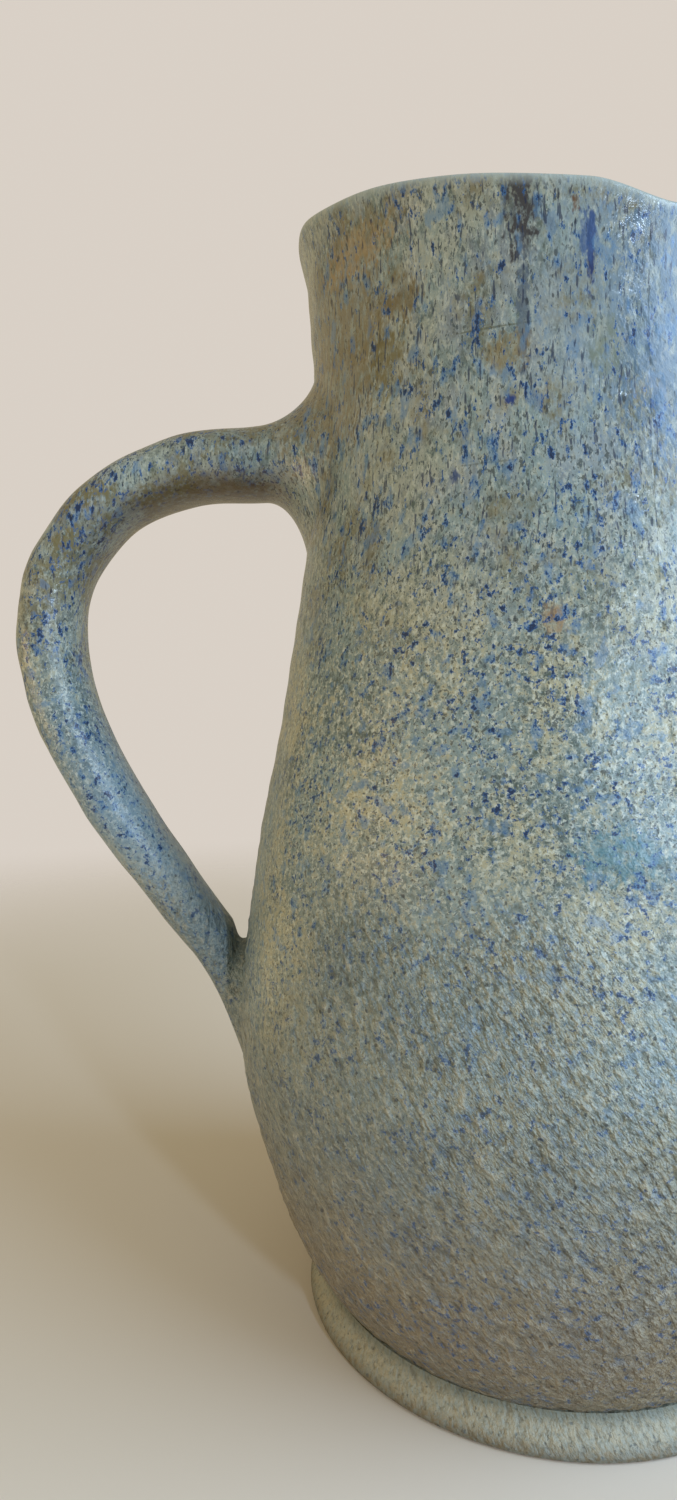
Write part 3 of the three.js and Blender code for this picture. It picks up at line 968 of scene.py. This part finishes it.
def lip_rows(angle, height, rounding):
    """Half an oval from the outer to the inner wall, as high as the rounding."""
    outer = outer_wall(angle, height)
    inner = inner_wall(angle, height)
    turn = np.linspace(0, np.pi, LIP_ROWS + 2)[1:-1, None, None]
    middle, half = (outer + inner) / 2, (outer - inner) / 2
    rise = np.zeros_like(middle)
    rise[..., 2] = rounding
    across, up = squared_oval(turn, LIP_SQUARENESS)
    return middle + half * across + rise * up


def throw_body():
    """Outside up, over the lip, inside down, and in across the floor."""
    angle = np.append(FRONT, BACK)
    at_seam = np.arange(len(angle)) < len(FRONT)
    rim = rim_height(angle)
    top = np.where(at_seam, seam_height(angle), rim - LIP_HEIGHT)
    rounding = np.where(at_seam, 0.0, LIP_HEIGHT)
    bottom = FOOT_OUTLINE[-1, 1]
    share = np.linspace(0, 1, WALL_ROWS)[:, None]
    heights = bottom + (top - bottom) * share
    outside = outer_wall(np.broadcast_to(angle, heights.shape), heights)
    over = lip_rows(angle, top, rounding)
    falling = np.linspace(1, 0, INNER_ROWS)[:, None]
    inner_heights = INSIDE_WALL_START + (top - INSIDE_WALL_START) * falling
    inside = inner_wall(np.broadcast_to(angle, inner_heights.shape), inner_heights)
    corner = np.linspace(0, np.pi / 2, 8)[1:, None]
    corner_size = INSIDE_WALL_START - INSIDE_FLOOR
    start = np.linalg.norm(inside[-1, :, :2], axis=-1)
    corner_radius = start - corner_size * (1 - np.cos(corner)) * CORNER_STRETCH
    corner_height = INSIDE_WALL_START - corner_size * np.sin(corner) + 0 * angle
    across = np.linspace(1, 0.03, 10)[1:, None]
    radius = np.vstack([corner_radius, corner_radius[-1] * across])
    height = np.vstack([corner_height, INSIDE_FLOOR + 0 * across * angle])
    floor = round_pot(angle[None, :], radius, height)
    rings = np.concatenate([outside, over, inside, floor])
    edge_distance = np.where(at_seam[None, :], 1.0, rim - rings[..., 2])
    return skin("thrown_body", rings, glaze_facts(rings, edge_distance))


finish_piece(throw_body(), "body", "speckled_glaze", glaze)

# %% [markdown]
# ## The spout
#
# The spout is the front of the neck, drawn out between finger and thumb. Its sections stand side by
# side round the front: each goes up the outside, over the lip, down the inside and back along the
# seam.

# %% Draw out the spout
SPOUT_ROWS = 64
SEAM_ROWS = 5


def draw_spout():
    """One closed section for each angle across the front."""
    angle = FRONT[::-1]
    low, high = seam_height(angle), rim_height(angle) - LIP_HEIGHT
    share = np.linspace(0, 1, SPOUT_ROWS)[:, None]
    heights = low + (high - low) * share
    wide = np.broadcast_to(angle, heights.shape)
    outside = outer_wall(wide, heights)
    over = lip_rows(angle, high, LIP_HEIGHT)
    inside = inner_wall(wide, heights)[::-1]
    back = np.linspace(0, 1, SEAM_ROWS + 2)[1:-1, None, None]
    along_seam = inside[-1] * (1 - back) + outside[0] * back
    sections = np.concatenate([outside, over, inside, along_seam]).transpose(1, 0, 2)
    below_rim = rim_height(angle)[:, None] - sections[..., 2]
    return skin("drawn_spout", sections, glaze_facts(sections, below_rim))


finish_piece(draw_spout(), "spout", "speckled_glaze", glaze)

# %% [markdown]
# ## The handle
#
# A pulled handle is a strap of wet clay, stroked until it is oval and thinner towards the end, then
# bent in one easy curve. Its line is a few chosen points, with the strap's half thickness and half
# width at each. One smooth curve runs through all four values, and the section is an oval made a
# little squarer.

# %% Pull the handle
HANDLE_LINE = MM * np.array([  # reach from the axis, height, half thickness and half width
    [60, 178.5, 7.5, 11.2], [76, 177.1, 6.9, 11.0], [91.5, 169.9, 6.5, 11.0],
    [101.9, 156.8, 6.6, 11.0], [104.9, 142, 6.8, 11.0], [101.4, 125, 6.7, 10.8],
    [92.8, 107.5, 6.3, 10.2], [81.2, 90.3, 5.7, 9.4], [71.6, 77.5, 5.2, 8.8],
])
STRAP_SQUARENESS = 2.3
STRAP_UNEVENNESS = 0.04  # the fingers press the section in by up to this share
PRESS_SPACING = 15 * MM
STRAP_STEPS = 230
STRAP_TURN = np.linspace(0, 2 * np.pi, 96, endpoint=False)  # round the section, from its outer face
UNDER_ROUND = (0.1, 0.9)  # how the brown of thin glaze and painted shade under the root fades in round the section,
UNDER_ALONG = (0.05, 0.5)  # and out along the strap


def smooth_line(knots, share):
    """Values and slopes along a curve through the knots; share runs 0 to 1 from end to end."""
    spans = len(knots) - 1
    place = np.asarray(share) * spans
    i = np.clip(place.astype(int), 0, spans - 1)
    t = (place - i)[:, None]
    padded = np.vstack([2 * knots[0] - knots[1], knots, 2 * knots[-1] - knots[-2]])
    p0, p1, p2, p3 = (padded[i + step] for step in range(4))
    out, into = (p2 - p0) / 2, (p3 - p1) / 2
    square = -3 * p1 + 3 * p2 - 2 * out - into
    cube = 2 * p1 - 2 * p2 + out + into
    return p1 + out * t + square * t**2 + cube * t**3, out + 2 * square * t + 3 * cube * t**2


def strap_sections(share):
    """The strap's section at each share of the line, and the direction in which it runs."""
    value, slope = smooth_line(HANDLE_LINE, share)
    along = np.stack([-slope[:, 0], 0 * slope[:, 0], slope[:, 1]], axis=-1)
    along /= np.linalg.norm(along, axis=-1, keepdims=True)
    across = np.array([0.0, 1.0, 0.0])
    outwards = np.cross(across, along)
    thick, wide = squared_oval(STRAP_TURN, STRAP_SQUARENESS)
    centre = np.stack([-value[:, 0], 0 * value[:, 0], value[:, 1]], axis=-1)
    offset = (value[:, 2, None] * thick)[..., None] * outwards[:, None, :]
    offset += (value[:, 3, None] * wide)[..., None] * across
    pressed = 0.5 + 0.35 * waves(centre[:, None, :] + offset, PRESS_SPACING, seed=11)
    offset *= 1 - STRAP_UNEVENNESS * np.clip(pressed, 0, 1)[..., None]
    return centre[:, None, :] + offset, along


def thin_and_shaded_root(share):
    """1 on the strap's inner face at the upper root, fading round the sides and along the strap:
    where the glaze is thin and painted shade falls.
    """
    inner = smooth(-np.cos(STRAP_TURN), *UNDER_ROUND)
    return (1 - smooth(share, *UNDER_ALONG))[:, None] * inner


def pull_handle():
    """The strap's sections from the upper to the lower joint."""
    share = np.linspace(0, 1, STRAP_STEPS)
    sections, _ = strap_sections(share)
    return skin("pulled_handle", sections, glaze_facts(sections, under=thin_and_shaded_root(share)))


finish_piece(pull_handle(), "handle", "speckled_glaze", glaze)

# %% [markdown]
# ## The two coils
#
# Where the handle meets the wall, a coil of soft clay was worked round the root and smoothed until
# no line was left. Every strand of its skin is a cubic with a chosen direction at both ends: from
# an oval on the wall, heading for the middle of the root, to the strap's end section, heading along
# it.

# %% Work the coils round the roots
# Height of its middle, half height, half width, and how far outwards its strands start at the
# outer and at the inner face of the strap.
UPPER_COIL = (177.5 * MM, 18.5 * MM, 20 * MM, (0.15, 0.15))
LOWER_COIL = (63 * MM, 13.5 * MM, 11 * MM, (0.15, 1.3))
COIL_ROWS = 40
LEAVE_PULL, ARRIVE_PULL = 0.8, 1.1  # how long a strand keeps its direction at each end
HIDDEN_OVALS = (0.4, 0.75)  # shares of the oval that close the coil's skin, inside the wall
SUNK = 0.12 * MM  # the coil's edge lies this far inside the wall, so that no gap shows


def wall_oval(size, side, share):
    """An oval on the wall round the root, a share of the coil's full size across."""
    middle, half_height, half_width, _ = size
    height = middle + side * half_height * share * np.cos(STRAP_TURN)
    sideways = half_width * share * np.sin(STRAP_TURN)
    angle = np.pi - np.arcsin(sideways / outer_radius(np.pi, height))
    points = outer_wall(angle, height)
    flat = np.linalg.norm(points[:, :2], axis=-1, keepdims=True)
    points[:, :2] *= 1 - SUNK / flat
    return points


def work_coil(name, size, side, share):
    """Cubic strands from the wall to the strap's section, listed as rings from one to the other."""
    station, along = strap_sections(np.array([share]))
    start, end = wall_oval(size, side, 1.0), station[0]
    middle = wall_oval(size, side, 0.0).mean(axis=0)
    reach = np.linalg.norm(end - start, axis=-1, keepdims=True)
    inwards = middle - start
    leave = LEAVE_PULL * reach * inwards / np.linalg.norm(inwards, axis=-1, keepdims=True)
    outer_lift, inner_lift = size[-1]
    lift = inner_lift + (outer_lift - inner_lift) * (1 + np.cos(STRAP_TURN)) / 2
    leave[:, 0] -= reach[:, 0] * lift
    arrive = ARRIVE_PULL * reach * along[0] * side
    t = np.linspace(0, 1, COIL_ROWS)[:, None, None]
    strands = start * (1 + 2 * t) * (1 - t) ** 2 + leave * t * (1 - t) ** 2
    strands = strands + end * t**2 * (3 - 2 * t) + arrive * t**2 * (t - 1)
    hidden = [wall_oval(size, side, part)[None] for part in HIDDEN_OVALS]
    rings = np.concatenate([*hidden, strands])
    if side < 0:
        rings = rings[::-1]
    out = np.linspace(-0.5, 1, len(rings))[:, None]
    # the thin glaze and painted shade under the upper root run on into the coil
    under = np.clip(out, 0, 1) * thin_and_shaded_root(np.array([share])) if side > 0 else 0.0
    return skin(name, rings, glaze_facts(rings, under=under))


upper = work_coil("upper_coil", UPPER_COIL, 1, 0.0)
finish_piece(upper, "upper_joint_coil", "speckled_glaze", glaze)
lower = work_coil("lower_coil", LOWER_COIL, -1, 1.0)
finish_piece(lower, "lower_joint_coil", "speckled_glaze", glaze)
